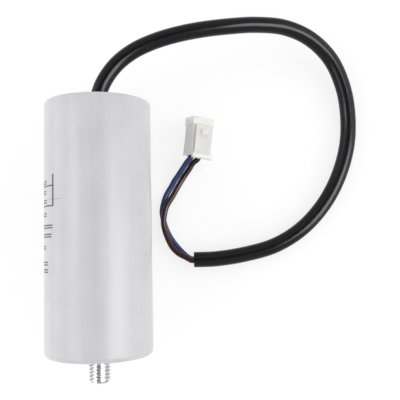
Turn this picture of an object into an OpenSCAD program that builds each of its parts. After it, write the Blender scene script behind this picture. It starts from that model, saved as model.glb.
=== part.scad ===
// Motor run capacitor: a moulded cup with a threaded stud in its base, a wound film roll potted in it,
// and a two-core cable that ends in a small crimp connector. It lies on its side on z = 0, with the can
// along Y, the stud towards -Y and the cable leaving towards +Y.

/* [Can] */
// Outside diameter of the can
can_d = 40; // [36:0.5:45]
// Height of the can from its seat to its rim
can_h = 94; // [88:1:104]
// Thickness of the can's wall
wall_t = 1.6; // [1.2:0.1:2]
// Thickness of the can's base
base_t = 3; // [2:0.25:4]
// Radius of the outer edge at the base
base_edge_r = 2; // [0.6:0.1:3]
// Radius of the outer edge of the rim
rim_edge_r = 1; // [0.4:0.1:1]
// Depth of the ring-shaped recess in the seat
recess_depth = 0.6; // [0.2:0.1:1.2]
// Width of the flat seat outside the recess
seat_w = 4; // [2:0.5:6]
// Number of centring ribs inside the wall
rib_count = 6; // [4:2:8]
// Thickness of a centring rib
rib_t = 1.2; // [0.8:0.1:2]

/* [Stud] */
// Outside diameter of the stud's thread
stud_d = 8; // [6:1:8]
// Length of the stud that stands out of the seat
stud_l = 10; // [8:0.5:14]
// Chamfer at the stud's tip
stud_chamfer = 0.8; // [0.4:0.1:1.2]
// Diameter of the shoulder that the can's base is moulded round
shoulder_d = 10; // [9:0.5:12]
// Width across the flats of the stud's hexagonal head
head_af = 13; // [12:0.5:13.5]
// Height of the stud's head
head_h = 5.3; // [3:0.1:6]
// Diameter of the boss that holds the head
boss_d = 17.5; // [16.5:0.5:18]

/* [Winding] */
// Radial gap between the roll and the can's wall
roll_gap = 3; // [2.8:0.1:3.6]
// Height left above the roll for the leads, up to the end of the jacket
lead_room = 9.3; // [9.3:0.1:14]
// Thickness of the sprayed metal on each end of the roll
spray_t = 0.7; // [0.4:0.1:1]
// Outside diameter of the core tube
core_tube_d = 9; // [7:0.5:11]
// Thickness of the core tube's wall
core_tube_t = 1.5; // [0.8:0.1:2]
// Diameter of the insulating disc under the roll
disc_d = 17; // [16:0.5:18]
// Thickness of the insulating disc
disc_t = 1; // [0.6:0.1:1.4]
// Clearance from a solder joint to the pieces beside it
joint_gap = 0.5; // [0.3:0.1:0.8]
// Height of a solder joint
solder_h = 2.3; // [2:0.1:2.6]

/* [Resin] */
// Depth of the resin's surface below the rim
resin_drop = 3; // [1:0.5:5]
// Length of cable jacket held in the resin
jacket_hold = 6; // [3:0.5:8]

/* [Cable] */
// Diameter of the cable's jacket
cable_d = 6.2; // [5.6:0.1:6.6]
// Diameter of an insulated core
core_d = 2.3; // [1.8:0.05:2.3]
// Diameter of the bare strands of a core
strand_d = 1.2; // [0.8:0.1:1.4]

/* [Plug] */
// Width of the plug's body
plug_w = 9; // [8.2:0.1:12]
// Thickness of the plug's body
plug_t = 7; // [6:0.1:9]
// Length of the plug's body
plug_l = 15.4; // [14.4:0.5:19.4]
// Distance between the two circuits
plug_pitch = 3.4; // [3.4:0.1:4]
// Width of a contact cavity
cavity_w = 2.8; // [2.75:0.05:2.9]
// Height of a contact cavity
cavity_h = 3; // [2.8:0.1:3.4]
// Side of the opening that a mating pin goes in by
mouth_w = 1.7; // [1.3:0.1:2]
// Width of the locking arm
arm_w = 7.6; // [4:0.1:8]
// Thickness of the locking arm
arm_t = 0.8; // [0.6:0.05:1.2]
// Gap between the locking arm and the body
arm_gap = 0.4; // [0.4:0.05:1]
// Roll of the plug about its long axis where it lies
plug_roll = 28; // [0:1:30]
// Turn of the plug's long axis from +Y towards +X
plug_turn = 7; // [0:1:20]

/* [Hidden] */
$fn = 64;

can_r = can_d / 2;
cable_r = cable_d / 2;
core_r = core_d / 2;
strand_r = strand_d / 2;
inner_r = can_r - wall_t;
roll_r = inner_r - roll_gap;
cut = 0.5;                // how far a cutter runs past the face it cuts
fit = 0.05;               // radial clearance of a piece pressed into its seat

// Levels up the can's own axis, from the seat at 0
head_top = base_t + head_h;
roll_foot = head_top + disc_t;
winding_foot = roll_foot + spray_t;
resin_top = can_h - resin_drop;
jacket_foot = resin_top - jacket_hold;
roll_top = jacket_foot - lead_room;
winding_top = roll_top - spray_t;
rib_top = 0.8 * winding_top;

// The recess in the seat lies between the stud's shoulder and the flat ring
shoulder_rim = 2;
recess_r = can_r - base_edge_r - seat_w;
recess_inner_r = shoulder_d / 2 + shoulder_rim;

// Where the can lies: the box of can and stud is centred on the origin
seat_y = (stud_l - can_h) / 2;
exit_y = seat_y + resin_top;

// The two inner leads run in the plane of the can's axis. Each first drops, then turns outwards.
lead_bend = 3;            // bend radius on a core's centre line
lead_drop = 2;            // straight length below the jacket
lead_level = jacket_foot - lead_drop - lead_bend;
core_out = core_r + 0.15; // distance of a core from the cable's axis
lead_r = roll_r + roll_gap / 2;
upper_joint = (core_tube_d / 2 + roll_r) / 2;
boss_reach = max(boss_d, disc_d) / 2;
lower_joint = (boss_reach + roll_r) / 2;
solder_r = (roll_r - boss_reach) / 2 - joint_gap;
strand_up = 1;            // bare length of the upper strands
strand_bend = 2;          // bend radius of the lower bare strands
strand_level = roll_foot - 0.65 * solder_h;
lead_foot = strand_level + strand_bend;

// Route of the cable from the resin's face: x, y past the face, and height as a share of the drop
// from the can's axis to the surface
jacket_route = [
    [0, 0, 1], [0, 4.5, 1], [2, 11, 1], [6.9, 18.1, 1], [13.5, 23.4, 1], [21.1, 27, 1],
    [30, 29.7, 1], [39.9, 31.7, 0.98], [50.6, 33.2, 0.92], [61.8, 34.4, 0.8], [73.7, 34.3, 0.6],
    [84.5, 30.7, 0.38], [93, 23.3, 0.2], [98.1, 12.7, 0.08], [100, 1.4, 0.02], [99.3, -11.5, 0],
    [95.3, -24.4, 0], [89, -35.5, 0], [80, -45.1, 0], [69.1, -51.7, 0], [56.9, -55.1, 0],
    [45, -56.8, 0], [38, -57, 0], [36, -57, 0]
];
// Routes of the two cores from the jacket's cut end to the plug: x, y past the resin's face, and
// height in core diameters above the surface
blue_route = [
    [33, -55.5, 0.2], [30, -52.5, 0], [27, -48.5, 0], [25, -44.5, 0], [24, -41, 0],
    [23.5, -37, 0], [24.7, -32, 0], [25.9, -29.5, 0.05], [27.4, -27.1, 0.2],
    [28.8, -24.7, 0.45], [30.5, -22.4, 0.75], [32.1, -20.1, 1.05], [33.8, -17.7, 1.35]
];
brown_route = [
    [33, -56.1, 1.25], [30, -54.5, 1.02], [27.5, -52, 1], [25.5, -48, 1], [24.5, -45, 1.02],
    [24, -41.5, 1.05], [24.4, -38.5, 1.02], [25.1, -35.8, 0.95], [26.5, -33.3, 0.7],
    [28, -30.9, 0.4], [29.4, -28.4, 0.15], [31.1, -25.5, 0.05], [33.1, -22.5, 0.1],
    [34.8, -20.1, 0.25], [36.5, -17.6, 0.5]
];
core_lie = -80;           // tilt of the pair of cores in the jacket's cut end
straight_out = 1;         // length that a core leaves the jacket's end straight

// Where the plug lies: the middle of its rear face, with its lowest edge on the surface
collar_l = 3.2;           // length of the collar round the plug's mating end
collar_out = 0.5;         // how far the collar stands out on each side
plug_side = 37.8;          // across from the can's axis
plug_back = 15.4;         // back from the resin's face
plug_at = [
    plug_side, exit_y - plug_back,
    (plug_w / 2 + collar_out) * sin(plug_roll) + plug_t / 2 * cos(plug_roll)
];
cavity_z = -1.4;          // the cavities lie a little below the middle of the body
crimp_foot = 2.5;         // rear end of the crimped contact, from the plug's rear face
crimp_end = 5;            // where the core ends in its crimp
box_foot = 8;             // rear end of the contact's box
mouth_t = 1.1;            // thickness of the wall that stops the contact
arm_root = 4.5;           // from the mating end back to the arm's free length
catch_l = 2.6;            // length of the arm's catch
catch_h = 0.6;            // height of the arm's catch
catch_w = 3;              // width of the arm's catch
grip_l = 0.8;             // length of the finger grip on the body
grip_out = 1.4;           // reach of the finger grip past the rear face
grip_h = 0.7;             // height of the finger grip
window_l = 2.4;           // length of a lance window
window_w = 1.6;           // width of a lance window
window_back = 6.5;        // from the mating end back to a window's far end
core_slack = 0.25;        // sideways play of a core where it enters its cavity

module laid_down() {
    translate([0, seat_y, can_r]) rotate([-90, 0, 0]) children();
}

module in_plug() {
    translate(plug_at) rotate([0, plug_roll, -plug_turn]) children();
}

// A point of the plug's own frame, where it lies
function plug_point(x, y, z) =
    let (across = x * cos(plug_roll) + z * sin(plug_roll))
    plug_at + [
        across * cos(plug_turn) + y * sin(plug_turn),
        y * cos(plug_turn) - across * sin(plug_turn),
        z * cos(plug_roll) - x * sin(plug_roll)
    ];

// Tube swept along a list of points, with one ring of the given number of sides at each point
module tube(path, r, sides) {
    last = len(path) - 1;
    rings = [
        for (i = [0:last])
            let (
                ahead = path[min(i + 1, last)] - path[max(i - 1, 0)],
                t = ahead / norm(ahead),
                flat = cross(t, [0, 0, 1]),
                side = flat / norm(flat),
                up = cross(side, t)
            )
            for (k = [0:sides - 1])
                let (a = 360 * k / sides - 90)
                path[i] + r * (cos(a) * side + sin(a) * up)
    ];
    walls = [
        for (i = [0:last - 1])
            for (k = [0:sides - 1])
                let (n = (k + 1) % sides)
                [i * sides + k, (i + 1) * sides + k, (i + 1) * sides + n, i * sides + n]
    ];
    ends = [
        [for (k = [0:sides - 1]) k],
        [for (k = [sides - 1:-1:0]) last * sides + k]
    ];
    polyhedron(rings, concat(walls, ends));
}

// Round wire made of straights and bends: each step is a length, or an angle and a bend radius
module wire_run(steps, r, from = 0) {
    if (from < len(steps)) {
        length = steps[from][0];
        angle = steps[from][1];
        bend = steps[from][2];
        if (angle == 0) {
            cylinder(r = r, h = length);
            translate([0, 0, length]) wire_run(steps, r, from + 1);
        } else {
            rotate([0, 0, angle > 0 ? 180 : 0]) translate([-bend, 0, 0]) rotate([90, 0, 0])
                rotate_extrude(angle = abs(angle)) translate([bend, 0]) circle(r);
            translate([sign(angle) * bend * (1 - cos(angle)), 0, bend * sin(abs(angle))])
                rotate([0, angle, 0]) wire_run(steps, r, from + 1);
        }
    }
}

// Rectangle with rounded corners about the origin
module rounded_rect(w, h, r) {
    square([w - 2 * r, h], center = true);
    square([w, h - 2 * r], center = true);
    for (x = [-1, 1], y = [-1, 1])
        translate([x * (w / 2 - r), y * (h / 2 - r)]) circle(r);
}

// Half profile of a round bar from a foot level to a top level, with rounded outer corners
module bar_profile(r, foot, top, foot_r, top_r) {
    translate([0, foot]) square([r - foot_r, top - foot]);
    translate([0, foot]) square([r - top_r, top - foot]);
    translate([0, foot + foot_r]) square([r, top - foot - foot_r - top_r]);
    translate([r - foot_r, foot + foot_r]) circle(foot_r);
    translate([r - top_r, top - top_r]) circle(top_r);
}

module room_in_can(top) {
    rotate_extrude() difference() {
        translate([0, base_t]) square([inner_r, top - base_t]);
        translate([inner_r - base_edge_r, base_t]) difference() {
            square(base_edge_r);
            translate([0, base_edge_r]) circle(base_edge_r);
        }
    }
}

module ribs() {
    for (i = [0:rib_count - 1])
        rotate([0, 0, 360 * (i + 0.5) / rib_count])
            translate([roll_r + fit, -rib_t / 2, base_t])
                cube([wall_t / 2 + roll_gap - fit, rib_t, rib_top - base_t]);
}

module case() {
    color("gainsboro") laid_down() {
        difference() {
            rotate_extrude() difference() {
                bar_profile(can_r, 0, can_h, base_edge_r, rim_edge_r);
                translate([recess_inner_r, -cut])
                    square([recess_r - recess_inner_r, recess_depth + cut]);
            }
            room_in_can(can_h + cut);
            translate([0, 0, -cut]) cylinder(r = shoulder_d / 2 + fit, h = base_t + 2 * cut);
        }
        difference() {
            translate([0, 0, base_t]) cylinder(d = boss_d, h = head_h);
            translate([0, 0, base_t]) hex_bar(head_af + 2 * fit, head_h + cut);
        }
        ribs();
    }
}

module hex_bar(across_flats, h) {
    cylinder(d = across_flats / cos(30), h = h, $fn = 6);
}

module stud() {
    color("silver") laid_down() {
        translate([0, 0, base_t]) hex_bar(head_af, head_h);
        cylinder(d = shoulder_d, h = base_t);
        translate([0, 0, stud_chamfer - stud_l]) cylinder(d = stud_d, h = stud_l - stud_chamfer);
        translate([0, 0, -stud_l])
            cylinder(d1 = stud_d - 2 * stud_chamfer, d2 = stud_d, h = stud_chamfer);
    }
}

module insulating_disc() {
    color("tan") laid_down() translate([0, 0, head_top]) cylinder(d = disc_d, h = disc_t);
}

// Ring round the core tube that fills the roll's section between two levels
module roll_ring(foot, h) {
    translate([0, 0, foot]) difference() {
        cylinder(r = roll_r, h = h);
        translate([0, 0, -cut]) cylinder(d = core_tube_d, h = h + 2 * cut);
    }
}

module roll() {
    color("lightsteelblue") laid_down() roll_ring(winding_foot, winding_top - winding_foot);
}

module core_tube() {
    color("white") laid_down() translate([0, 0, roll_foot]) difference() {
        cylinder(d = core_tube_d, h = roll_top - roll_foot);
        translate([0, 0, -cut])
            cylinder(d = core_tube_d - 2 * core_tube_t, h = roll_top - roll_foot + 2 * cut);
    }
}

module lower_spray() {
    color("gray") laid_down() roll_ring(roll_foot, spray_t);
}

module upper_spray() {
    color("gray") laid_down() roll_ring(winding_top, spray_t);
}

// Dome of solder standing on z = 0
module solder_dome() {
    ball_r = (solder_h * solder_h + solder_r * solder_r) / (2 * solder_h);
    difference() {
        translate([0, 0, solder_h - ball_r]) sphere(ball_r);
        translate([0, 0, -2 * ball_r]) cube(4 * ball_r, center = true);
    }
}

module blue_insulation() {
    translate([core_out, 0, jacket_foot]) rotate([180, 0, 0])
        wire_run([
            [lead_drop, 0, 0], [0, 90, lead_bend], [upper_joint - core_out - 2 * lead_bend, 0, 0],
            [0, -90, lead_bend], [lead_level - lead_bend - roll_top - strand_up, 0, 0]
        ], core_r);
}

module blue_strands() {
    translate([upper_joint, 0, roll_top]) cylinder(r = strand_r, h = strand_up);
}

module brown_insulation() {
    rotate([0, 0, 180]) translate([core_out, 0, jacket_foot]) rotate([180, 0, 0])
        wire_run([
            [lead_drop, 0, 0], [0, 90, lead_bend], [lead_r - core_out - 2 * lead_bend, 0, 0],
            [0, -90, lead_bend], [lead_level - lead_bend - lead_foot, 0, 0]
        ], core_r);
}

module brown_strands() {
    rotate([0, 0, 180]) translate([lead_r, 0, lead_foot]) rotate([180, 0, 0])
        wire_run([
            [0, -90, strand_bend], [lead_r - strand_bend - lower_joint, 0, 0]
        ], strand_r);
}

module lower_solder() {
    color("darkgray") laid_down() difference() {
        translate([-lower_joint, 0, roll_foot]) rotate([180, 0, 0]) solder_dome();
        brown_strands();
    }
}

module upper_solder() {
    color("darkgray") laid_down() difference() {
        translate([upper_joint, 0, roll_top]) solder_dome();
        blue_strands();
        blue_insulation();
    }
}

module blue_lead() {
    color("royalblue") laid_down() blue_insulation();
}

module brown_lead() {
    color("saddlebrown") laid_down() brown_insulation();
}

module blue_lead_strands() {
    color("peru") laid_down() blue_strands();
}

module brown_lead_strands() {
    color("peru") laid_down() brown_strands();
}

module resin() {
    color("whitesmoke") laid_down() difference() {
        room_in_can(resin_top);
        translate([0, 0, base_t - cut]) cylinder(d = boss_d, h = head_h + cut);
        translate([0, 0, head_top]) cylinder(d = disc_d, h = disc_t);
        difference() {
            translate([0, 0, roll_foot]) cylinder(r = roll_r, h = roll_top - roll_foot);
            translate([0, 0, roll_foot])
                cylinder(d = core_tube_d - 2 * core_tube_t, h = roll_top - roll_foot);
        }
        ribs();
        translate([0, 0, jacket_foot]) cylinder(r = cable_r, h = jacket_hold + cut);
        blue_insulation();
        brown_insulation();
        brown_strands();
        translate([upper_joint, 0, roll_top]) solder_dome();
        translate([-lower_joint, 0, roll_foot]) rotate([180, 0, 0]) solder_dome();
    }
}

jacket_path = concat(
    [[0, exit_y - jacket_hold, can_r]],
    [for (p = jacket_route) [p[0], exit_y + p[1], cable_r + p[2] * (can_r - cable_r)]]
);
jacket_end = jacket_path[len(jacket_path) - 1];

// Path of a core: side is 1 for blue and -1 for brown
function core_path(route, side) =
    let (start = jacket_end + side * core_out * [0, cos(core_lie), sin(core_lie)])
    concat(
        [start, start - [straight_out, 0, 0]],
        [for (p = route) [p[0], exit_y + p[1], core_r + p[2] * core_d]],
        [
            plug_point(-side * plug_pitch / 2 - core_slack, -0.8, cavity_z),
            plug_point(-side * plug_pitch / 2, 0.8, cavity_z),
            plug_point(-side * plug_pitch / 2, crimp_foot, cavity_z),
            plug_point(-side * plug_pitch / 2, crimp_end, cavity_z)
        ]
    );

module cable_jacket() {
    color("black") tube(jacket_path, cable_r, 12);
}

module blue_core() {
    color("royalblue") tube(core_path(blue_route, 1), core_r, 8);
}

module brown_core() {
    color("saddlebrown") tube(core_path(brown_route, -1), core_r, 8);
}

// The locking arm's side outline: y along the plug, z above the body's top face
module arm_outline() {
    top = arm_gap + arm_t;
    root = plug_l - arm_root;
    polygon([
        [root + 2 * arm_t, -cut], [root + 2 * arm_t, arm_gap], [root + arm_t, top],
        [0, top], [0, arm_gap], [root, arm_gap], [root, -cut]
    ]);
}

// The wedge on the arm that catches in the mating header
module catch_outline() {
    top = arm_gap + arm_t;
    heel = plug_l - arm_root - arm_t;
    polygon([
        [heel, arm_gap], [heel, top + catch_h], [heel - catch_l / 2, top + catch_h],
        [heel - catch_l, top], [heel - catch_l, arm_gap]
    ]);
}

// The finger grip across the arm's free end
module grip_outline() {
    top = arm_gap + arm_t;
    polygon([
        [grip_l, arm_gap], [grip_l, top], [grip_l / 2, top + grip_h],
        [grip_h / 2 - grip_out, top + grip_h], [-grip_out, top + grip_h / 2], [-grip_out, arm_gap]
    ]);
}

module across(w) {
    translate([-w / 2, 0, plug_t / 2]) rotate([90, 0, 90]) linear_extrude(w) children();
}

module plug_housing() {
    color("ivory") in_plug() difference() {
        union() {
            translate([0, plug_l, 0]) rotate([90, 0, 0])
                linear_extrude(plug_l) rounded_rect(plug_w, plug_t, 0.4);
            across(arm_w) arm_outline();
            across(plug_w) grip_outline();
            across(catch_w) catch_outline();
            translate([0, plug_l, 0]) rotate([90, 0, 0])
                linear_extrude(collar_l) rounded_rect(plug_w + 2 * collar_out, plug_t, 0.4);
        }
        for (side = [-1, 1])
            translate([side * plug_pitch / 2, 0, cavity_z]) {
                translate([-cavity_w / 2, -cut, -cavity_h / 2])
                    cube([cavity_w, plug_l + cut - mouth_t, cavity_h]);
                translate([-mouth_w / 2, 0, -mouth_w / 2]) cube([mouth_w, plug_l + cut, mouth_w]);
                translate([-window_w / 2, plug_l - window_back, -plug_t])
                    cube([window_w, window_l, plug_t]);
            }
    }
}

// Crimped contact in its cavity: crimp barrel, neck and a square box for the pin, on one strip
module contact(side) {
    box_w = cavity_w - 0.4;
    box_h = cavity_h - 0.4;
    box_end = plug_l - mouth_t;
    in_plug() translate([side * plug_pitch / 2, 0, cavity_z]) difference() {
        union() {
            translate([0, crimp_end, 0]) rotate([90, 0, 0])
                cylinder(r = core_r + fit + 0.15, h = crimp_end - crimp_foot);
            translate([-box_w / 4, crimp_foot, -core_r - fit - 0.3])
                cube([box_w / 2, box_foot - crimp_foot + 1, 0.6]);
            translate([-0.8, crimp_end, -core_r - fit]) cube([1.6, box_foot - crimp_end + 1, 1.8]);
            translate([-box_w / 2, box_foot, -box_h / 2]) cube([box_w, box_end - box_foot, box_h]);
        }
        translate([0, crimp_end, 0]) rotate([90, 0, 0]) cylinder(r = core_r + fit, h = crimp_end);
        translate([-mouth_w / 2, box_foot + 1, -mouth_w / 2]) cube([mouth_w, plug_l, mouth_w]);
    }
}

module blue_contact() {
    color("silver") contact(-1);
}

module brown_contact() {
    color("silver") contact(1);
}

case();
stud();
insulating_disc();
roll();
core_tube();
lower_spray();
upper_spray();
lower_solder();
upper_solder();
blue_lead();
brown_lead();
blue_lead_strands();
brown_lead_strands();
resin();
cable_jacket();
blue_core();
brown_core();
plug_housing();
blue_contact();
brown_contact();
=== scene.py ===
import math

import bmesh
import bpy
from mathutils import Matrix, Vector


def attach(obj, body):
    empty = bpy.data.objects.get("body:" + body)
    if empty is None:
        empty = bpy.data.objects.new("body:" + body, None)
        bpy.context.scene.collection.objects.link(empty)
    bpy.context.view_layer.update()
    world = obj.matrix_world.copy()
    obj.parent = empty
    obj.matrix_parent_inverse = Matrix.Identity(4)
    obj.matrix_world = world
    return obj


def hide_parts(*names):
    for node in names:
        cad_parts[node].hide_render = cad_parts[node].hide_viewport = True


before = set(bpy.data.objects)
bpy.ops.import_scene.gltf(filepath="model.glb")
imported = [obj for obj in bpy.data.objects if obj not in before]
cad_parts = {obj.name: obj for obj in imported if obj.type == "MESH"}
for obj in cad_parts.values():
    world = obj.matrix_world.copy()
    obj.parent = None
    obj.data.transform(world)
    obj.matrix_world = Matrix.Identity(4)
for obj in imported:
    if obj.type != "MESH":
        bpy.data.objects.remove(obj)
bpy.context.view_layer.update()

MM = 0.001

# Sizes of the object in millimetres
CAN_R = 20.0
CAN_H = 94.0
WALL_T = 1.6
INNER_R = CAN_R - WALL_T
BASE_T = 3.0
BASE_EDGE_R = 2.0
RIM_EDGE_R = 1.0
RECESS_INNER_R = 7.0
RECESS_R = 14.0
RECESS_DEPTH = 0.6
RIB_COUNT = 6
RIB_T = 1.2
RIB_TOP = 57.6        # the CAD's ribs are 2.4 mm longer
ROLL_R = 15.4
RESIN_TOP = 91.0
STUD_R = 4.0
STUD_L = 10.0
THREAD_PITCH = 1.25
SHOULDER_R = 5.0
HEAD_AF = 13.0
HEAD_H = 5.3
BOSS_R = 8.75
JACKET_HOLD = 6.0
CABLE_R = 3.1
CORE_R = 1.15
CORE_OUT = 1.3        # distance of a core from the cable's axis
PLUG_W = 9.0
PLUG_T = 7.0
PLUG_L = 15.4
PLUG_PITCH = 3.4
PLUG_ROLL = 28.0
PLUG_TURN = 7.0
COLLAR_L = 3.2
COLLAR_OUT = 0.5
CAVITY_W = 2.8
CAVITY_H = 3.0
CAVITY_Z = -1.4       # the cavities lie a little below the middle of the body
MOUTH_W = 1.7
MOUTH_T = 1.1         # thickness of the wall that stops a contact
WINDOW_W = 1.6
WINDOW_L = 2.4
WINDOW_BACK = 6.5     # from the mating end back to a lance window's far end
ARM_W = 7.6
ARM_T = 0.8
ARM_GAP = 0.4
ARM_ROOT = 4.5        # from the mating end back to the arm's free length
CATCH_W = 3.0
CATCH_L = 2.6
CATCH_H = 0.6
GRIP_L = 0.8
GRIP_OUT = 1.4        # reach of the finger grip past the plug's rear face
GRIP_H = 0.7

FIT = 0.05            # clearance of a piece that sits in another
WELD = 1e-4           # distance at which points count as one
MOULD_SMOOTH = 35.0   # edges sharper than this many degrees are drawn sharp

# Where things lie along Y, with the can on its side and the stud towards -Y
SEAT_Y = (STUD_L - CAN_H) / 2
EXIT_Y = SEAT_Y + RESIN_TOP

# A can drawn upright on its base, laid on its side
LAID = Matrix.Translation((0, SEAT_Y, CAN_R)) @ Matrix.Rotation(math.radians(-90), 4, "X")

# A plug drawn from its rear face along Y, put where it lies on the edge of its collar
PLUG_AT = Vector((37.8, 33.6, (PLUG_W / 2 + COLLAR_OUT) * math.sin(math.radians(PLUG_ROLL))
                  + PLUG_T / 2 * math.cos(math.radians(PLUG_ROLL))))
IN_PLUG = (Matrix.Translation(PLUG_AT)
           @ Matrix.Rotation(math.radians(-PLUG_TURN), 4, "Z")
           @ Matrix.Rotation(math.radians(PLUG_ROLL), 4, "Y"))


# ---------------------------------------------------------------- camera

CAMERA_AT = Vector((30.8, -2.5, 245.7))
CAMERA_PITCH = math.radians(4.4)
CAMERA_YAW = math.radians(1.0)


def place_camera():
    """A camera nearly straight above the object."""
    data = bpy.data.cameras.new("camera")
    data.lens = 54
    data.sensor_width = 36
    data.shift_x = 0.05
    data.clip_start = 0.01
    camera = bpy.data.objects.new("camera", data)
    sine, cosine = math.sin(CAMERA_YAW), math.cos(CAMERA_YAW)
    across = Vector((cosine, -sine * math.cos(CAMERA_PITCH), -sine * math.sin(CAMERA_PITCH)))
    up = Vector((sine, cosine * math.cos(CAMERA_PITCH), cosine * math.sin(CAMERA_PITCH)))
    turn = Matrix((across, up, across.cross(up))).transposed().to_4x4()
    camera.matrix_world = Matrix.Translation(CAMERA_AT * MM) @ turn
    bpy.context.scene.collection.objects.link(camera)
    bpy.context.scene.camera = camera
    bpy.context.scene.view_settings.view_transform = "Standard"


place_camera()


# ---------------------------------------------------------------- materials

# Sockets that share a name go by number: a colour Mix's inputs and its output
FACTOR, FIRST, SECOND, BLENDED = 0, 6, 7, 2
# The values that most of a noise lies between
NOISE_SPAN = (0.3, 0.7)
# Strength of each finer layer of a noise: smooth moulded and drawn surfaces, or gritty ones
SMOOTH, GRITTY = 0.55, 0.7


def linear(code):
    """An sRGB hex colour as linear RGBA."""
    parts = [int(code[i:i + 2], 16) / 255 for i in (0, 2, 4)]
    return tuple(p / 12.92 if p <= 0.04045 else ((p + 0.055) / 1.055) ** 2.4
                 for p in parts) + (1.0,)


def per_mm(size):
    """Texture scale, in metres, of a pattern whose features are this many millimetres wide."""
    return 1 / (size * MM)


def set_inputs(tree, node, inputs):
    """Give a node's inputs their values, or links from a socket or a node's first output."""
    for name, value in inputs.items():
        if isinstance(value, bpy.types.Node):
            value = value.outputs[0]
        if isinstance(value, bpy.types.NodeSocket):
            tree.links.new(value, node.inputs[name])
        else:
            node.inputs[name].default_value = value


def add(tree, kind, inputs=None, **settings):
    """Add a shader node with its settings, and set or link its inputs."""
    made = tree.nodes.new("ShaderNode" + kind)
    for name, value in settings.items():
        setattr(made, name, value)
    set_inputs(tree, made, inputs or {})
    return made


def start_material(name):
    """A new material with its tree, its shader and the object's coordinates."""
    made = bpy.data.materials.new(name)
    made.use_nodes = True
    tree = made.node_tree
    return made, tree, tree.nodes["Principled BSDF"], add(tree, "TexCoord").outputs["Object"]


def dress(tree, shader, pattern, colours, gloss, relief, constants, span=NOISE_SPAN):
    """Spread two colours and two roughnesses along a pattern, over a relief."""
    colour = add(tree, "Mix", {FACTOR: pattern, FIRST: linear(colours[0]),
                               SECOND: linear(colours[1])}, data_type="RGBA").outputs[BLENDED]
    rough = add(tree, "MapRange", {"Value": pattern, "From Min": span[0], "From Max": span[1],
                                   "To Min": gloss[0], "To Max": gloss[1]})
    set_inputs(tree, shader, {"Base Color": colour, "Roughness": rough, "Normal": relief})
    set_inputs(tree, shader, constants)


def moulded_polyamide():
    # Injection-moulded light grey polyamide: satin, with soft flow bands along the can and
    # a few specks of dust. The spark-eroded grain is finer in the mould, and is drawn 0.25 mm
    # wide so that it shows.
    made, tree, shader, where = start_material("moulded_polyamide")
    lengthwise = add(tree, "Mapping", {"Vector": where, "Scale": (1, 0.05, 1)})
    bands = add(tree, "TexNoise", {"Vector": lengthwise, "Scale": per_mm(5.0), "Detail": 2.0,
                                   "Roughness": SMOOTH})
    cloud = add(tree, "TexNoise", {"Vector": where, "Scale": per_mm(14.0), "Detail": 3.0,
                                   "Roughness": SMOOTH})
    grain = add(tree, "TexNoise", {"Vector": where, "Scale": per_mm(0.25), "Detail": 2.0,
                                   "Roughness": SMOOTH})
    speck = add(tree, "TexNoise", {"Vector": where, "Scale": per_mm(1.6), "Detail": 0.0,
                                   "Roughness": SMOOTH})
    both = add(tree, "Math", {0: bands, 1: cloud}, operation="ADD")
    tone = add(tree, "MapRange", {"Value": both, "From Min": 0.75, "From Max": 1.25})
    plain = add(tree, "Mix", {FACTOR: tone, FIRST: linear("CDCCCF"), SECOND: linear("D5D4D7")},
                data_type="RGBA").outputs[BLENDED]
    dust = add(tree, "MapRange", {"Value": speck, "From Min": 0.88, "From Max": 0.92})
    colour = add(tree, "Mix", {FACTOR: dust, FIRST: plain, SECOND: linear("BDBCBA")},
                 data_type="RGBA").outputs[BLENDED]
    rough = add(tree, "MapRange", {"Value": cloud, "From Min": NOISE_SPAN[0],
                                   "From Max": NOISE_SPAN[1], "To Min": 0.3, "To Max": 0.38})
    eroded = add(tree, "Bump", {"Height": grain, "Distance": 0.004 * MM})
    relief = add(tree, "Bump", {"Height": bands, "Distance": 0.02 * MM, "Normal": eroded})
    set_inputs(tree, shader, {"Base Color": colour, "Roughness": rough, "Normal": relief,
                              "IOR": 1.50, "Specular IOR Level": 0.22})
    return made


def zinc_plated_steel():
    # Bright zinc plating on rolled steel: near-white neutral metal, slightly hazy
    made, tree, shader, where = start_material("zinc_plated_steel")
    haze = add(tree, "TexNoise", {"Vector": where, "Scale": per_mm(1.2), "Detail": 4.0,
                                  "Roughness": SMOOTH})
    grain = add(tree, "TexNoise", {"Vector": where, "Scale": per_mm(0.12), "Detail": 2.0,
                                   "Roughness": SMOOTH})
    relief = add(tree, "Bump", {"Height": grain, "Distance": 0.003 * MM})
    dress(tree, shader, haze, ("C9C7C9", "DEDCDE"), (0.12, 0.22), relief, {"Metallic": 1.0})
    return made


def pressed_fibre_board():
    # Pressed fibre board: tan paper pulp, matt, with short fibres
    made, tree, shader, where = start_material("fibre_board")
    drawn_out = add(tree, "Mapping", {"Vector": where, "Scale": (1, 1, 0.2)})
    fibres = add(tree, "TexNoise", {"Vector": drawn_out, "Scale": per_mm(0.4), "Detail": 5.0,
                                    "Roughness": GRITTY})
    colour = add(tree, "Mix", {FACTOR: fibres, FIRST: linear("A98B62"),
                               SECOND: linear("C7AC84")}, data_type="RGBA").outputs[BLENDED]
    relief = add(tree, "Bump", {"Height": fibres, "Distance": 0.03 * MM})
    set_inputs(tree, shader, {"Base Color": colour, "Normal": relief, "Roughness": 0.85,
                              "IOR": 1.45})
    return made


def metallised_film():
    # Wound polypropylene film with a vapour-deposited zinc layer: grey-violet metal with
    # hair-fine winding lines round the roll, drawn about 0.2 mm apart so that they show
    made, tree, shader, where = start_material("metallised_film")
    wound = add(tree, "Mapping", {"Vector": where, "Scale": (0.2, 6, 0.2)})
    turns = add(tree, "TexNoise", {"Vector": wound, "Scale": per_mm(1.0), "Detail": 3.0,
                                   "Roughness": SMOOTH})
    relief = add(tree, "Bump", {"Height": turns, "Distance": 0.01 * MM})
    dress(tree, shader, turns, ("8E8FA3", "B9BBC9"), (0.2, 0.36), relief, {"Metallic": 0.85})
    return made


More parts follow.
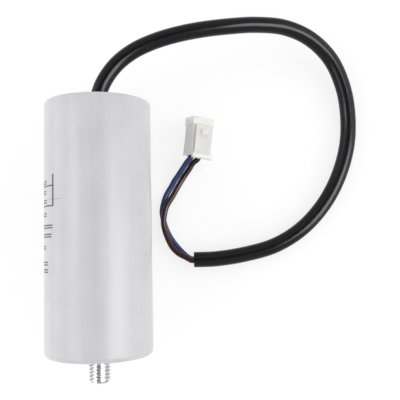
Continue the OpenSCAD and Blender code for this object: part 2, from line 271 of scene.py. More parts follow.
def extruded_polypropylene():
    # Extruded polypropylene tube: milky white, waxy, with draw lines along it
    made, tree, shader, where = start_material("extruded_polypropylene")
    drawn_out = add(tree, "Mapping", {"Vector": where, "Scale": (1, 0.04, 1)})
    lines = add(tree, "TexNoise", {"Vector": drawn_out, "Scale": per_mm(0.5), "Detail": 2.0,
                                   "Roughness": SMOOTH})
    relief = add(tree, "Bump", {"Height": lines, "Distance": 0.01 * MM})
    dress(tree, shader, lines, ("DEDDD6", "EAE9E4"), (0.35, 0.45), relief,
          {"IOR": 1.49, "Subsurface Weight": 0.15, "Subsurface Scale": 0.001})
    return made


def sprayed_zinc():
    # Arc-sprayed zinc on the roll's ends: matt grey grains of metal
    made, tree, shader, where = start_material("sprayed_zinc")
    grains = add(tree, "TexNoise", {"Vector": where, "Scale": per_mm(0.35), "Detail": 4.0,
                                    "Roughness": GRITTY})
    relief = add(tree, "Bump", {"Height": grains, "Distance": 0.08 * MM})
    dress(tree, shader, grains, ("8A8B8D", "B3B4B5"), (0.5, 0.75), relief, {"Metallic": 0.9})
    return made


def tin_solder():
    # Tin solder set in a dome: bright with a faint frosty skin
    made, tree, shader, where = start_material("tin_solder")
    frost = add(tree, "TexNoise", {"Vector": where, "Scale": per_mm(0.8), "Detail": 4.0,
                                   "Roughness": SMOOTH})
    relief = add(tree, "Bump", {"Height": frost, "Distance": 0.02 * MM})
    dress(tree, shader, frost, ("B7B8B9", "D6D7D7"), (0.14, 0.34), relief, {"Metallic": 1.0},
          span=(0.35, 0.65))
    return made


def extruded_pvc(name, colours, gloss, shine):
    # Extruded PVC insulation: glossy, through-coloured, with faint waves from the die
    made, tree, shader, where = start_material(name)
    cloud = add(tree, "TexNoise", {"Vector": where, "Scale": per_mm(3.0), "Detail": 3.0,
                                   "Roughness": SMOOTH})
    waves = add(tree, "TexNoise", {"Vector": where, "Scale": per_mm(0.9), "Detail": 1.0,
                                   "Roughness": SMOOTH})
    relief = add(tree, "Bump", {"Height": waves, "Distance": 0.006 * MM})
    dress(tree, shader, cloud, colours, gloss, relief,
          {"IOR": 1.53, "Specular IOR Level": shine})
    return made


def copper_strands():
    # Twisted bare copper strands: bright red metal with the lay of the strands across it
    made, tree, shader, where = start_material("copper_strands")
    lay = add(tree, "TexWave", {"Vector": where, "Scale": per_mm(3.2),
                                "Distortion": 0.6}).outputs["Fac"]
    relief = add(tree, "Bump", {"Height": lay, "Distance": 0.06 * MM})
    dress(tree, shader, lay, ("A5603F", "DB9A74"), (0.25, 0.4), relief, {"Metallic": 1.0},
          span=(0, 1))
    return made


def polyurethane_potting():
    # Poured polyurethane resin: opaque off-white, a glassy top with slow waves and small pits
    made, tree, shader, where = start_material("polyurethane_potting")
    slow = add(tree, "TexNoise", {"Vector": where, "Scale": per_mm(9.0), "Detail": 2.0,
                                  "Roughness": SMOOTH})
    cells = add(tree, "TexVoronoi", {"Vector": where, "Scale": per_mm(2.4)})
    pits = add(tree, "MapRange", {"Value": cells, "From Min": 0.08, "From Max": 0.16})
    pitted = add(tree, "Bump", {"Height": pits, "Distance": 0.05 * MM})
    relief = add(tree, "Bump", {"Height": slow, "Distance": 0.25 * MM, "Normal": pitted})
    dress(tree, shader, slow, ("D9D3C3", "E6E1D4"), (0.2, 0.36), relief,
          {"IOR": 1.5, "Subsurface Weight": 0.1, "Subsurface Scale": 0.002,
           "Coat Weight": 0.25, "Coat Roughness": 0.08})
    return made


def moulded_nylon():
    # Natural nylon: warm white, slightly translucent, satin from the mould
    made, tree, shader, where = start_material("moulded_nylon")
    cloud = add(tree, "TexNoise", {"Vector": where, "Scale": per_mm(3.0), "Detail": 3.0,
                                   "Roughness": SMOOTH})
    grain = add(tree, "TexNoise", {"Vector": where, "Scale": per_mm(0.2), "Detail": 2.0,
                                   "Roughness": SMOOTH})
    relief = add(tree, "Bump", {"Height": grain, "Distance": 0.004 * MM})
    dress(tree, shader, cloud, ("EBE7DF", "F2EFEA"), (0.34, 0.44), relief,
          {"IOR": 1.53, "Specular IOR Level": 0.35, "Subsurface Weight": 0.7,
           "Subsurface Scale": 0.004, "Subsurface Radius": (1.0, 0.95, 0.88)})
    return made


def tinned_brass():
    # Stamped brass strip with a tin flash: pale warm metal with rolling lines
    made, tree, shader, where = start_material("tinned_brass")
    rolled = add(tree, "Mapping", {"Vector": where, "Scale": (1, 0.1, 1)})
    lines = add(tree, "TexNoise", {"Vector": rolled, "Scale": per_mm(0.3), "Detail": 3.0,
                                   "Roughness": SMOOTH})
    relief = add(tree, "Bump", {"Height": lines, "Distance": 0.006 * MM})
    dress(tree, shader, lines, ("BFB9A8", "D8D4C8"), (0.2, 0.34), relief, {"Metallic": 1.0})
    return made


def printing_ink():
    # Pad-printed black ink: a thin satin film, a little thin in places
    made, tree, shader, where = start_material("printing_ink")
    thin = add(tree, "TexNoise", {"Vector": where, "Scale": per_mm(0.5), "Detail": 3.0,
                                  "Roughness": SMOOTH})
    relief = add(tree, "Bump", {"Height": thin, "Distance": 0.003 * MM})
    dress(tree, shader, thin, ("3C3C3E", "58585C"), (0.4, 0.55), relief, {"IOR": 1.5})
    return made


# The material of each slot in the record
SKIN = {
    "can_plastic": moulded_polyamide(),
    "zinc_plated_steel": zinc_plated_steel(),
    "fibre_board": pressed_fibre_board(),
    "metallised_film": metallised_film(),
    "tube_plastic": extruded_polypropylene(),
    "sprayed_zinc": sprayed_zinc(),
    "solder": tin_solder(),
    "blue_pvc": extruded_pvc("blue_pvc", ("293763", "374A7C"), (0.2, 0.3), 0.28),
    "brown_pvc": extruded_pvc("brown_pvc", ("30191A", "3B2021"), (0.2, 0.3), 0.25),
    "black_pvc": extruded_pvc("black_pvc", ("161418", "1A181C"), (0.16, 0.24), 0.16),
    "copper": copper_strands(),
    "potting_resin": polyurethane_potting(),
    "natural_nylon": moulded_nylon(),
    "tinned_brass": tinned_brass(),
}
INK = printing_ink()


# ---------------------------------------------------------------- helpers for pieces

def to_object(bm, name, slot, place=None, smooth=MOULD_SMOOTH, skin=None):
    """Close and finish a bmesh drawn in millimetres, and ride it on the object."""
    bmesh.ops.remove_doubles(bm, verts=bm.verts, dist=WELD)
    bmesh.ops.recalc_face_normals(bm, faces=bm.faces)
    if place is not None:
        bmesh.ops.transform(bm, matrix=place, verts=bm.verts)
    bmesh.ops.scale(bm, vec=(MM, MM, MM), verts=bm.verts)
    for face in bm.faces:
        face.smooth = True
    for edge in bm.edges:
        edge.smooth = len(edge.link_faces) == 2 and edge.calc_face_angle() < math.radians(smooth)
    mesh = bpy.data.meshes.new(name)
    bm.to_mesh(mesh)
    bm.free()
    made = bpy.data.objects.new(name, mesh)
    bpy.context.scene.collection.objects.link(made)
    mesh.materials.append(skin or SKIN[slot])
    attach(made, "root")
    return made


def verts_of(geometry):
    """The vertices in what a bmesh operator made."""
    return [part for part in geometry if isinstance(part, bmesh.types.BMVert)]


def spun(bm, profile, steps):
    """Spin a closed profile of (radius, level) points about the Z axis."""
    verts = [bm.verts.new((r, 0, z)) for r, z in profile]
    edges = [bm.edges.new((verts[i], verts[(i + 1) % len(verts)])) for i in range(len(verts))]
    bmesh.ops.spin(bm, geom=verts + edges, cent=(0, 0, 0), axis=(0, 0, 1),
                   angle=math.tau, steps=steps, use_merge=True)


def round_edges(bm, edges, width, segments):
    """Round some edges of a bmesh."""
    bmesh.ops.bevel(bm, geom=edges, offset=width, offset_type="OFFSET", segments=segments,
                    profile=0.5, affect="EDGES", material=-1, clamp_overlap=True)


def arc(centre, radius, start, end, count):
    """Points of an arc in a profile, with angles in degrees."""
    turns = [math.radians(start + (end - start) * i / count) for i in range(count + 1)]
    return [(centre[0] + radius * math.cos(t), centre[1] + radius * math.sin(t)) for t in turns]


def smooth_path(points, step):
    """Points along a smooth curve through the given ones, about this many mm apart."""
    points = [Vector(p) for p in points]
    padded = [2 * points[0] - points[1]] + points + [2 * points[-1] - points[-2]]
    found = []
    for a, b, c, d in zip(padded, padded[1:], padded[2:], padded[3:]):
        # knots of a centripetal Catmull-Rom curve: the root of each chord, and never nothing
        k = [0.0]
        for p, q in ((a, b), (b, c), (c, d)):
            k.append(k[-1] + max((q - p).length, 1e-6) ** 0.5)
        count = max(2, round((c - b).length / step))
        for i in range(count):
            t = k[1] + (k[2] - k[1]) * i / count
            ab = a.lerp(b, t / k[1])
            bc = b.lerp(c, (t - k[1]) / (k[2] - k[1]))
            cd = c.lerp(d, (t - k[2]) / (k[3] - k[2]))
            abc = ab.lerp(bc, t / k[2])
            bcd = bc.lerp(cd, (t - k[1]) / (k[3] - k[1]))
            found.append(abc.lerp(bcd, (t - k[1]) / (k[2] - k[1])))
    return found + [points[-1]]


def cord_curve(name, points, radius, slot):
    """A round cord along points in millimetres: one open spline."""
    data = bpy.data.curves.new(name, "CURVE")
    data.dimensions = "3D"
    data.bevel_depth = radius * MM
    data.bevel_resolution = 7
    data.use_fill_caps = True
    spline = data.splines.new("POLY")
    spline.points.add(len(points) - 1)
    for knot, p in zip(spline.points, points):
        knot.co = (*(p * MM), 1)
    spline.use_smooth = True
    made = bpy.data.objects.new(name, data)
    bpy.context.scene.collection.objects.link(made)
    data.materials.append(SKIN[slot])
    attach(made, "root")
    return made


# ---------------------------------------------------------------- cable and cores

# Routes as the CAD has them: x, y past the resin's face, and a height. The jacket's height is
# a share of the way from lying on the floor to the can's axis. A core's is how many of its
# own diameters it lies above the floor.
JACKET_ROUTE = [
    (0, 0, 1), (0, 4.5, 1), (2, 11, 1), (6.9, 18.1, 1), (13.5, 23.4, 1), (21.1, 27, 1),
    (30, 29.7, 1), (39.9, 31.7, 0.98), (50.6, 33.2, 0.92), (61.8, 34.4, 0.8),
    (73.7, 34.3, 0.6), (84.5, 30.7, 0.38), (93, 23.3, 0.2), (98.1, 12.7, 0.08),
    (100, 1.4, 0.02), (99.3, -11.5, 0), (95.3, -24.4, 0), (89, -35.5, 0), (80, -45.1, 0),
    (69.1, -51.7, 0), (56.9, -55.1, 0), (45, -56.8, 0), (38, -57, 0), (36, -57, 0)
]
BLUE_ROUTE = [
    (33, -55.5, 0.2), (30, -52.5, 0), (27, -48.5, 0), (25, -44.5, 0), (24, -41, 0),
    (23.5, -37, 0), (24.7, -32, 0), (25.9, -29.5, 0.05), (27.4, -27.1, 0.2),
    (28.8, -24.7, 0.45), (30.5, -22.4, 0.75), (32.1, -20.1, 1.05), (33.8, -17.7, 1.35)
]
BROWN_ROUTE = [
    (33, -56.1, 1.25), (30, -54.5, 1.02), (27.5, -52, 1), (25.5, -48, 1), (24.5, -45, 1.02),
    (24, -41.5, 1.05), (24.4, -38.5, 1.02), (25.1, -35.8, 0.95), (26.5, -33.3, 0.7),
    (28, -30.9, 0.4), (29.4, -28.4, 0.15), (31.1, -25.5, 0.05), (33.1, -22.5, 0.1),
    (34.8, -20.1, 0.25), (36.5, -17.6, 0.5)
]
JACKET_STEP = 1.5     # spacing of the points along the jacket and along a core
CORE_STEP = 0.8
CORE_LIE = math.radians(-80)  # tilt of the pair of cores in the jacket's cut end
JACKET_LIP = 1.2      # depth of the hollow in the jacket's cut end
STRAIGHT_OUT = 1.0    # length that a core leaves the jacket's end straight
# Sideways play of a core at its last points, and how far each is from the plug's rear face
CORE_INTO_PLUG = ((0.25, -0.8), (0, 0.8), (0, 2.5), (0, 5))

jacket_points = [Vector((0, EXIT_Y - JACKET_HOLD, CAN_R))] + [
    Vector((x, EXIT_Y + y, CABLE_R + h * (CAN_R - CABLE_R))) for x, y, h in JACKET_ROUTE]
jacket_end = jacket_points[-1].copy()
jacket_points[-1].x += JACKET_LIP


def core_points(route, side):
    """A core's points, from inside the jacket's end to its crimp on one side of the plug."""
    start = jacket_end + side * CORE_OUT * Vector((0, math.cos(CORE_LIE), math.sin(CORE_LIE)))
    inside = [start + Vector((JACKET_LIP, 0, 0)), start, start - Vector((STRAIGHT_OUT, 0, 0))]
    outside = [Vector((x, EXIT_Y + y, CORE_R + h * 2 * CORE_R)) for x, y, h in route]
    plugged = [IN_PLUG @ Vector((-side * PLUG_PITCH / 2 - play, y, CAVITY_Z))
               for play, y in CORE_INTO_PLUG]
    return inside + outside + plugged


def jacket_cut_end():
    """The jacket's wall round the two cores, its edges a little rounded by the blade."""
    bm = bmesh.new()
    bore = CORE_OUT + CORE_R + FIT
    sunk, outer_edge, inner_edge = 0.2, 0.12, 0.08
    spun(bm, [(bore, -sunk), (CABLE_R, -sunk), (CABLE_R, JACKET_LIP - outer_edge),
              (CABLE_R - outer_edge, JACKET_LIP), (bore + inner_edge, JACKET_LIP),
              (bore, JACKET_LIP - inner_edge)], 48)
    turn = (Matrix.Translation(jacket_end + Vector((JACKET_LIP, 0, 0)))
            @ Matrix.Rotation(math.radians(-90), 4, "Y"))
    return to_object(bm, "jacket_cut_end", "black_pvc", turn)


jacket = cord_curve("cable_jacket_smooth", smooth_path(jacket_points, JACKET_STEP), CABLE_R,
                    "black_pvc")
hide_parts("cable_jacket")
blue = cord_curve("blue_core_smooth", smooth_path(core_points(BLUE_ROUTE, 1), CORE_STEP),
                  CORE_R, "blue_pvc")
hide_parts("blue_core")
brown = cord_curve("brown_core_smooth", smooth_path(core_points(BROWN_ROUTE, -1), CORE_STEP),
                   CORE_R, "brown_pvc")
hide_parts("brown_core")
cut_end = jacket_cut_end()


# ---------------------------------------------------------------- can

def can_cup(bm):
    """The can's wall and base, with the ring-shaped recess round the seat of the stud."""
    groove, mouth_edge = 0.2, 0.25
    profile = [
        (SHOULDER_R + FIT, 0), (RECESS_INNER_R - groove, 0), (RECESS_INNER_R, groove),
        (RECESS_INNER_R, RECESS_DEPTH), (RECESS_R, RECESS_DEPTH), (RECESS_R, groove),
        (RECESS_R + groove, 0),
    ]
    profile += arc((CAN_R - BASE_EDGE_R, BASE_EDGE_R), BASE_EDGE_R, -90, 0, 10)
    # levels between, which keep the wall's faces from getting too long
    profile += [(CAN_R, z) for z in (15, 30, 45, 60, 75, 88)]
    profile += arc((CAN_R - RIM_EDGE_R, CAN_H - RIM_EDGE_R), RIM_EDGE_R, 0, 90, 8)
    profile += arc((INNER_R + mouth_edge, CAN_H - mouth_edge), mouth_edge, 90, 180, 3)
    profile += [(INNER_R, z) for z in (RESIN_TOP, 60, 30)]
    profile += arc((INNER_R - BASE_EDGE_R, BASE_T + BASE_EDGE_R), BASE_EDGE_R, 0, -90, 6)
    profile += [(SHOULDER_R + FIT, BASE_T)]
    spun(bm, profile, 160)


def can_ribs(bm):
    """The ribs that hold the roll in the middle, each sunk into the wall and the base."""
    sunk = 0.5
    reach = WALL_T / 2 + CAN_R - WALL_T - ROLL_R - FIT
    for i in range(RIB_COUNT):
        rib = bmesh.ops.create_cube(bm, size=1)["verts"]
        bmesh.ops.scale(bm, vec=(reach, RIB_T, RIB_TOP - BASE_T + sunk), verts=rib)
        bmesh.ops.translate(bm, vec=(ROLL_R + FIT + reach / 2, 0, (RIB_TOP + BASE_T - sunk) / 2),
                            verts=rib)
        turn = math.tau / RIB_COUNT * (i + 0.5)
        bmesh.ops.rotate(bm, cent=(0, 0, 0), verts=rib, matrix=Matrix.Rotation(turn, 3, "Z"))


def can_boss(bm):
    """The boss with the hexagon socket for the stud's head, sunk into the base."""
    sunk = 0.2
    edges = []
    for radius, flats in ((BOSS_R, False), (HEAD_AF / 2 + FIT, True)):
        loop = bmesh.ops.create_circle(bm, segments=48, radius=radius)["verts"]
        for v in loop if flats else []:
            # push the circle's points out to the sides of a hexagon round it
            off = math.degrees(math.atan2(v.co.y, v.co.x)) % 60 - 30
            v.co /= math.cos(math.radians(off))
        edges += {e for v in loop for e in v.link_edges}
    disc = bmesh.ops.bridge_loops(bm, edges=edges)["faces"]
    ring = list({v for f in disc for v in f.verts})
    bmesh.ops.translate(bm, vec=(0, 0, BASE_T - sunk), verts=ring)
    raised = bmesh.ops.extrude_face_region(bm, geom=disc, use_keep_orig=True)["geom"]
    bmesh.ops.translate(bm, vec=(0, 0, HEAD_H + sunk), verts=verts_of(raised))


def case_moulding():
    bm = bmesh.new()
    can_cup(bm)
    can_ribs(bm)
    can_boss(bm)
    made = to_object(bm, "case_moulding", "can_plastic", LAID)
    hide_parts("case")
    return made


# ---------------------------------------------------------------- stud

STEEL_SMOOTH = 30.0   # edges sharper than this many degrees are drawn sharp on the stud


def wind_thread(bm):
    """A helical metric thread, with a flat of an eighth of the pitch at its crest."""
    depth = 0.6134 * THREAD_PITCH
    root = STUD_R - depth
    tip = STUD_R - 0.03   # a little under the nominal size, as a cut thread is
    flank = depth * math.tan(math.radians(30))
    crest = THREAD_PITCH / 8
    # a slight hollow in the root, just before the next turn
    hollow = (root - 0.05, THREAD_PITCH - 0.14)
    turns = round(STUD_L / THREAD_PITCH) + 3
    low = -STUD_L - THREAD_PITCH
    profile = []
    for i in range(turns):
        z = low + i * THREAD_PITCH
        profile += [(root, z), (tip, z + flank), (tip, z + flank + crest),
                    (root, z + 2 * flank + crest), (hollow[0], z + hollow[1])]
    profile.append((root, low + turns * THREAD_PITCH))
    verts = [bm.verts.new((r, 0, z)) for r, z in profile]
    edges = [bm.edges.new(pair) for pair in zip(verts, verts[1:])]
    steps = 64
    bmesh.ops.spin(bm, geom=verts + edges, cent=(0, 0, 0), axis=(0, 0, 1), angle=math.tau,
                   steps=steps, dvec=(0, 0, THREAD_PITCH / steps), use_merge=False)
    bmesh.ops.remove_doubles(bm, verts=bm.verts, dist=WELD)


def cut_thread(bm):
    """Cut the thread square at its free end and just inside the shoulder, and close it."""
    for level, way in ((-STUD_L, -1), (0.3, 1)):
        geometry = list(bm.verts) + list(bm.edges) + list(bm.faces)
        bmesh.ops.bisect_plane(bm, geom=geometry, plane_co=(0, 0, level),
                               plane_no=(0, 0, way), clear_outer=True)
        rim = [e for e in bm.edges if e.is_boundary
               and all(abs(v.co.z - level) < WELD for v in e.verts)]
        bmesh.ops.edgeloop_fill(bm, edges=rim)


def point_thread(bm):
    """Give the free end its lead-in chamfer, at 45 degrees."""
    lead_in = 0.9
    for v in bm.verts:
        reach = STUD_R - lead_in + (v.co.z + STUD_L)
        radius = math.hypot(v.co.x, v.co.y)
        if radius > reach:
            v.co.x *= reach / radius
            v.co.y *= reach / radius


def stud_shoulder(bm):
    """The round shoulder in the can's base, with its lower edge rounded."""
    edge = 0.3
    verts = bmesh.ops.create_cone(bm, cap_ends=True, segments=64, radius1=SHOULDER_R,
                                  radius2=SHOULDER_R, depth=BASE_T)["verts"]
    lower = [e for e in {e for v in verts for e in v.link_edges}
             if all(abs(v.co.z + BASE_T / 2) < WELD for v in e.verts)]
    round_edges(bm, lower, edge, 2)
    # the thread is thinner, so all that lies outside its diameter is the shoulder
    whole = [v for v in bm.verts if math.hypot(v.co.x, v.co.y) > STUD_R]
    bmesh.ops.translate(bm, vec=(0, 0, BASE_T / 2), verts=whole)


def stud_head(bm):
    """The hexagon head above the shoulder."""
    corner = HEAD_AF / 2 / math.cos(math.radians(30))
    verts = bmesh.ops.create_cone(bm, cap_ends=True, segments=6, radius1=corner,
                                  radius2=corner, depth=HEAD_H)["verts"]
    bmesh.ops.translate(bm, vec=(0, 0, BASE_T + HEAD_H / 2), verts=verts)


def threaded_stud():
    bm = bmesh.new()
    wind_thread(bm)
    cut_thread(bm)
    point_thread(bm)
    stud_shoulder(bm)
    stud_head(bm)
    made = to_object(bm, "stud_threaded", "zinc_plated_steel", LAID, smooth=STEEL_SMOOTH)
    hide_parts("stud")
    return made


# ---------------------------------------------------------------- resin and print

def resin_edges():
    """The small concave fillets where the poured resin creeps up the wall and the cable."""
    bm = bmesh.new()
    sunk = 0.2
    creep, overlap = 0.9, 0.02
    top = RESIN_TOP + creep
    hollow = arc((INNER_R - creep, top), creep, -90, 0, 6)
    spun(bm, hollow + [(INNER_R + overlap, top), (INNER_R + overlap, RESIN_TOP - sunk),
                       (INNER_R - creep, RESIN_TOP - sunk)], 128)
    creep, overlap = 0.7, 0.1
    top = RESIN_TOP + creep
    hollow = arc((CABLE_R + creep, top), creep, 180, 270, 6)
    spun(bm, hollow + [(CABLE_R + creep, RESIN_TOP - sunk), (CABLE_R - overlap, RESIN_TOP - sunk),
                       (CABLE_R - overlap, top)], 64)
    return to_object(bm, "resin_edges", "potting_resin", LAID)


# The print on the can's side. Angles go round the can from the top, in degrees, and levels
# along the object, in millimetres.
FRAME_LOW, FRAME_HIGH = 12.45, 20.1
FRAME_BACK = (-128, -127)
FRAME_SIDE = (-46.5, -44)
SIDE_HIGH = 23.9
RULE_W = 0.45
HAIRLINE = (14.9, 15)
HAIRLINE_ENDS = (-53, -33)
CLEAR = 0.02          # degrees between bars, so that none share an edge
# Each line of words is a pair of thin bars: its ends round the can, and its lowest level
WORD_LINES = [
    (-112, -60, 20.6), (-121, -61, 17.0), (-118, -59, 13.7), (-115, -60, 8.9),
    (-122, -46, 4.6), (-108, -48, 1.4), (-119, -62, -2.9), (-104, -56, -8.6),
    (-110, -55, -11.2)
]
WORD_RISE = 0.9       # from one bar of a pair to the other
INK_T = 0.02          # thickness of the ink's film, in millimetres
DEGREES_A_FACE = 1.5


def print_bars():
    """The bars' ends round the can, and their lowest and highest levels."""
    left, right = FRAME_SIDE[0] - CLEAR, FRAME_SIDE[1] + CLEAR
    bars = [(*FRAME_SIDE, FRAME_LOW, SIDE_HIGH), (*FRAME_BACK, FRAME_LOW, FRAME_HIGH)]
    bars += [(FRAME_BACK[1] + CLEAR, left, low, low + RULE_W)
             for low in (FRAME_HIGH - RULE_W, FRAME_LOW)]
    bars += [(*ends, *HAIRLINE) for ends in ((HAIRLINE_ENDS[0], left), (right, HAIRLINE_ENDS[1]))]
    for start, end, low in WORD_LINES:
        bars += [(start, end, low + rise, low + rise + RULE_W) for rise in (0, WORD_RISE)]
    return bars


def print_marks():
    """A ruled frame and plain bars for words, as a thin film round the can's side."""
    bm = bmesh.new()
    for left, right, low, high in print_bars():
        columns = max(1, round((right - left) / DEGREES_A_FACE))
        grid = bmesh.ops.create_grid(bm, x_segments=columns, y_segments=1, size=0.5)["verts"]
        for v in grid:
            turn = math.radians(left + (right - left) * (v.co.x + 0.5))
            level = low + (high - low) * (v.co.y + 0.5)
            v.co = (CAN_R * math.sin(turn), level, CAN_R + CAN_R * math.cos(turn))
    bmesh.ops.recalc_face_normals(bm, faces=bm.faces)
    for face in bm.faces:
        middle = face.calc_center_median()
        if face.normal.dot(Vector((middle.x, 0, middle.z - CAN_R))) < 0:
            face.normal_flip()
    bmesh.ops.solidify(bm, geom=list(bm.faces), thickness=-INK_T)
    return to_object(bm, "print_bars", "can_plastic", skin=INK)


case_moulding()
threaded_stud()
resin_edges()
print_marks()


# ---------------------------------------------------------------- plug

def block(size, middle, edge=0.0):
    """A block as a bmesh of its own, with rounded edges if it has any."""
    bm = bmesh.new()
    verts = bmesh.ops.create_cube(bm, size=1)["verts"]
    bmesh.ops.scale(bm, vec=size, verts=verts)
    bmesh.ops.translate(bm, vec=middle, verts=verts)
    if edge:
        round_edges(bm, list(bm.edges), edge, 3)
    return bm


def bar_across(outline, width, edge):
    """A bar across the plug from its side outline of (y, z) points."""
    bm = bmesh.new()
    face = bm.faces.new([bm.verts.new((-width / 2, y, z)) for y, z in outline])
    grown = bmesh.ops.extrude_face_region(bm, geom=[face])["geom"]
    bmesh.ops.translate(bm, vec=(width, 0, 0), verts=verts_of(grown))
    bmesh.ops.recalc_face_normals(bm, faces=bm.faces)
    round_edges(bm, list(bm.edges), edge, 2)
    return bm


def tool_object(bm, name):
    """A bmesh as an object that is only there to be joined or cut."""
    mesh = bpy.data.meshes.new(name)
    bmesh.ops.recalc_face_normals(bm, faces=bm.faces)
    bm.to_mesh(mesh)
    bm.free()
    made = bpy.data.objects.new(name, mesh)
    bpy.context.scene.collection.objects.link(made)
    return made


def carve(body, tools):
    """Join or cut tools, (object, operation) pairs, and give back the result's bmesh."""
    for tool, operation in tools:
        step = body.modifiers.new(operation, "BOOLEAN")
        step.object = tool
        step.operation = operation
        step.solver = "EXACT"
    graph = bpy.context.evaluated_depsgraph_get()
    mesh = bpy.data.meshes.new_from_object(body.evaluated_get(graph))
    bm = bmesh.new()
    bm.from_mesh(mesh)
    for made in [body] + [tool for tool, operation in tools]:
        bpy.data.objects.remove(made)
    bpy.data.meshes.remove(mesh)
    return bm


def locking_arm():
    """The sprung arm over the plug, its catch, and the finger grip behind it."""
    face = PLUG_T / 2
    under = face + ARM_GAP
    top = under + ARM_T
    root = PLUG_L - ARM_ROOT
    heel = root - ARM_T
    arm_foot = face - 0.5      # in the body
    catch_foot = under + 0.1   # in the arm
    arm = [
        (root + 2 * ARM_T, arm_foot), (root + 2 * ARM_T, under), (root + ARM_T, top), (0, top),
        (0, under), (root, under), (root, arm_foot)
    ]
    catch = [
        (heel, catch_foot), (heel, top + CATCH_H), (heel - CATCH_L / 2, top + CATCH_H),
        (heel - CATCH_L, top), (heel - CATCH_L, catch_foot)
    ]
    slope = GRIP_H / 2
    grip = [
        (GRIP_L, under), (GRIP_L, top), (GRIP_L / 2, top + GRIP_H),
        (slope - GRIP_OUT, top + GRIP_H), (-GRIP_OUT, top + slope), (-GRIP_OUT, under)
    ]
    return [bar_across(arm, ARM_W, edge=0.12), bar_across(catch, CATCH_W, edge=0.08),
            bar_across(grip, PLUG_W, edge=0.15)]


def plug_bores(x):
    """What is cut for one contact: its cavity, its pin's mouth and its lance window."""
    behind, ahead = 0.5, 2.0   # how far the cutters run past the plug's two ends
    cavity = (CAVITY_W, PLUG_L + behind - MOUTH_T, CAVITY_H)
    mouth = (MOUTH_W, PLUG_L + ahead, MOUTH_W)
    window = (WINDOW_W, WINDOW_L, PLUG_T)
    return [block(cavity, (x, (PLUG_L - MOUTH_T - behind) / 2, CAVITY_Z)),
            block(mouth, (x, (PLUG_L + ahead) / 2, CAVITY_Z)),
            block(window, (x, PLUG_L - WINDOW_BACK + WINDOW_L / 2, CAVITY_Z - PLUG_T / 2))]


def plug_housing():
    body = block((PLUG_W, PLUG_L, PLUG_T), (0, PLUG_L / 2, 0), edge=0.4)
    collar = block((PLUG_W + 2 * COLLAR_OUT, COLLAR_L, PLUG_T),
                   (0, PLUG_L - COLLAR_L / 2, 0), edge=0.35)
    joined = [collar] + locking_arm()
    cut = plug_bores(-PLUG_PITCH / 2) + plug_bores(PLUG_PITCH / 2)
    bm = carve(tool_object(body, "plug_body"),
               [(tool_object(shape, "plug_tool"), "UNION") for shape in joined]
               + [(tool_object(shape, "plug_tool"), "DIFFERENCE") for shape in cut])
    # clear away the slivers that the cuts leave on flat faces
    bmesh.ops.dissolve_limit(bm, angle_limit=math.radians(5), verts=bm.verts, edges=bm.edges)
    made = to_object(bm, "plug_housing_moulded", "natural_nylon", IN_PLUG)
    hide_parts("plug_housing")
    return made


plug = plug_housing()


# ---------------------------------------------------------------- finishes of the CAD's own nodes

KEPT = {
    "insulating_disc": "fibre_board", "roll": "metallised_film", "core_tube": "tube_plastic",
    "lower_spray": "sprayed_zinc", "upper_spray": "sprayed_zinc", "lower_solder": "solder",
    "upper_solder": "solder", "blue_lead": "blue_pvc", "brown_lead": "brown_pvc",
    "blue_lead_strands": "copper", "brown_lead_strands": "copper", "resin": "potting_resin",
    "blue_contact": "tinned_brass", "brown_contact": "tinned_brass"
}
for node, slot in KEPT.items():
    kept = bpy.data.objects[node]
    kept.data.materials.clear()
    kept.data.materials.append(SKIN[slot])


# ---------------------------------------------------------------- stage and light

def floor_paper():
    # Matt white paper that keeps the object's soft shadow. The camera, lenses and mirrors see
    # it lit a little by itself, so that it shows white.
    made = bpy.data.materials.new("floor_paper")
    made.use_nodes = True
    tree = made.node_tree
    tree.nodes.clear()
    path = add(tree, "LightPath")
    seen = add(tree, "Math", {0: path.outputs["Is Camera Ray"], 1: path.outputs["Is Glossy Ray"]},
               operation="MAXIMUM")
    seen = add(tree, "Math", {0: seen, 1: path.outputs["Is Transmission Ray"]},
               operation="MAXIMUM")
    paper = add(tree, "BsdfDiffuse", {"Color": linear("F9F9F9")})
    faint = add(tree, "BsdfDiffuse", {"Color": linear("959595")})
    glow = add(tree, "Emission", {"Color": linear("FFFFFF"), "Strength": 0.75})
    white = add(tree, "AddShader", {0: faint, 1: glow})
    shown = add(tree, "MixShader", {0: seen, 1: paper, 2: white})
    add(tree, "OutputMaterial", {"Surface": shown})
    return made


def backdrop():
    """A plain floor, three metres each way from the object."""
    bm = bmesh.new()
    bmesh.ops.create_grid(bm, x_segments=1, y_segments=1, size=3.0)
    mesh = bpy.data.meshes.new("floor")
    bm.to_mesh(mesh)
    bm.free()
    floor = bpy.data.objects.new("floor", mesh)
    bpy.context.scene.collection.objects.link(floor)
    mesh.materials.append(floor_paper())


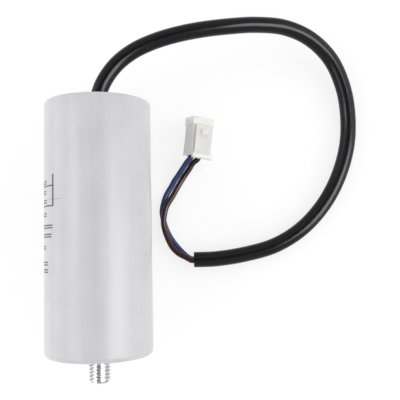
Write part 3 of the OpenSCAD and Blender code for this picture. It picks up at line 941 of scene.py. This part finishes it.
def daylight():
    """A pale room, dark straight overhead, so that round pieces keep dark middles."""
    world = bpy.data.worlds.new("studio")
    bpy.context.scene.world = world
    world.use_nodes = True
    tree = world.node_tree
    tree.nodes.clear()
    way = add(tree, "TexCoord").outputs["Generated"]
    height = add(tree, "SeparateXYZ", {"Vector": way}).outputs["Z"]
    room, overhead = 0.82, 0.1
    level = add(tree, "MapRange", {"Value": height, "From Min": 0.88, "From Max": 0.96,
                                   "To Min": room, "To Max": overhead})
    path = add(tree, "LightPath")
    shade = add(tree, "Mix", {"Factor": path.outputs["Is Camera Ray"], "A": level, "B": 1.0},
                data_type="FLOAT")
    sky = add(tree, "Background", {"Color": linear("FFFFFF"), "Strength": shade})
    add(tree, "OutputWorld", {"Surface": sky})


LAMP_DISTANCE = 0.9
LAMPS_AIM = Vector((0.03, 0, 0.02))


def softbox(name, azimuth, tilt, width, length, radiance, glint=False):
    """A softbox at an azimuth from +X towards +Y and a tilt from the vertical, in degrees."""
    data = bpy.data.lights.new(name, "AREA")
    data.shape = "RECTANGLE"
    data.size, data.size_y = width, length
    data.energy = radiance * math.pi * width * length
    made = bpy.data.objects.new(name, data)
    bpy.context.scene.collection.objects.link(made)
    a, t = math.radians(azimuth), math.radians(tilt)
    way = Vector((math.sin(t) * math.cos(a), math.sin(t) * math.sin(a), math.cos(t)))
    flat = Vector((-math.sin(a), math.cos(a), 0))
    turn = Matrix((flat.cross(way), flat, way)).transposed().to_4x4()
    made.matrix_world = Matrix.Translation(way * LAMP_DISTANCE + LAMPS_AIM) @ turn
    made.visible_diffuse = not glint


backdrop()
daylight()
softbox("fill_right", 0, 66, 0.6, 1.3, 1.4)
softbox("fill_left", 180, 66, 0.6, 1.3, 1.4)
# Small lamps that the glossy pieces mirror, and that light nothing matt
softbox("glint_right", -13, 43, 0.6, 0.5, 11.5, glint=True)
softbox("glint_left", 170, 44, 0.22, 0.16, 15.0, glint=True)
softbox("glint_can", 206, 46, 0.25, 0.5, 4.0, glint=True)
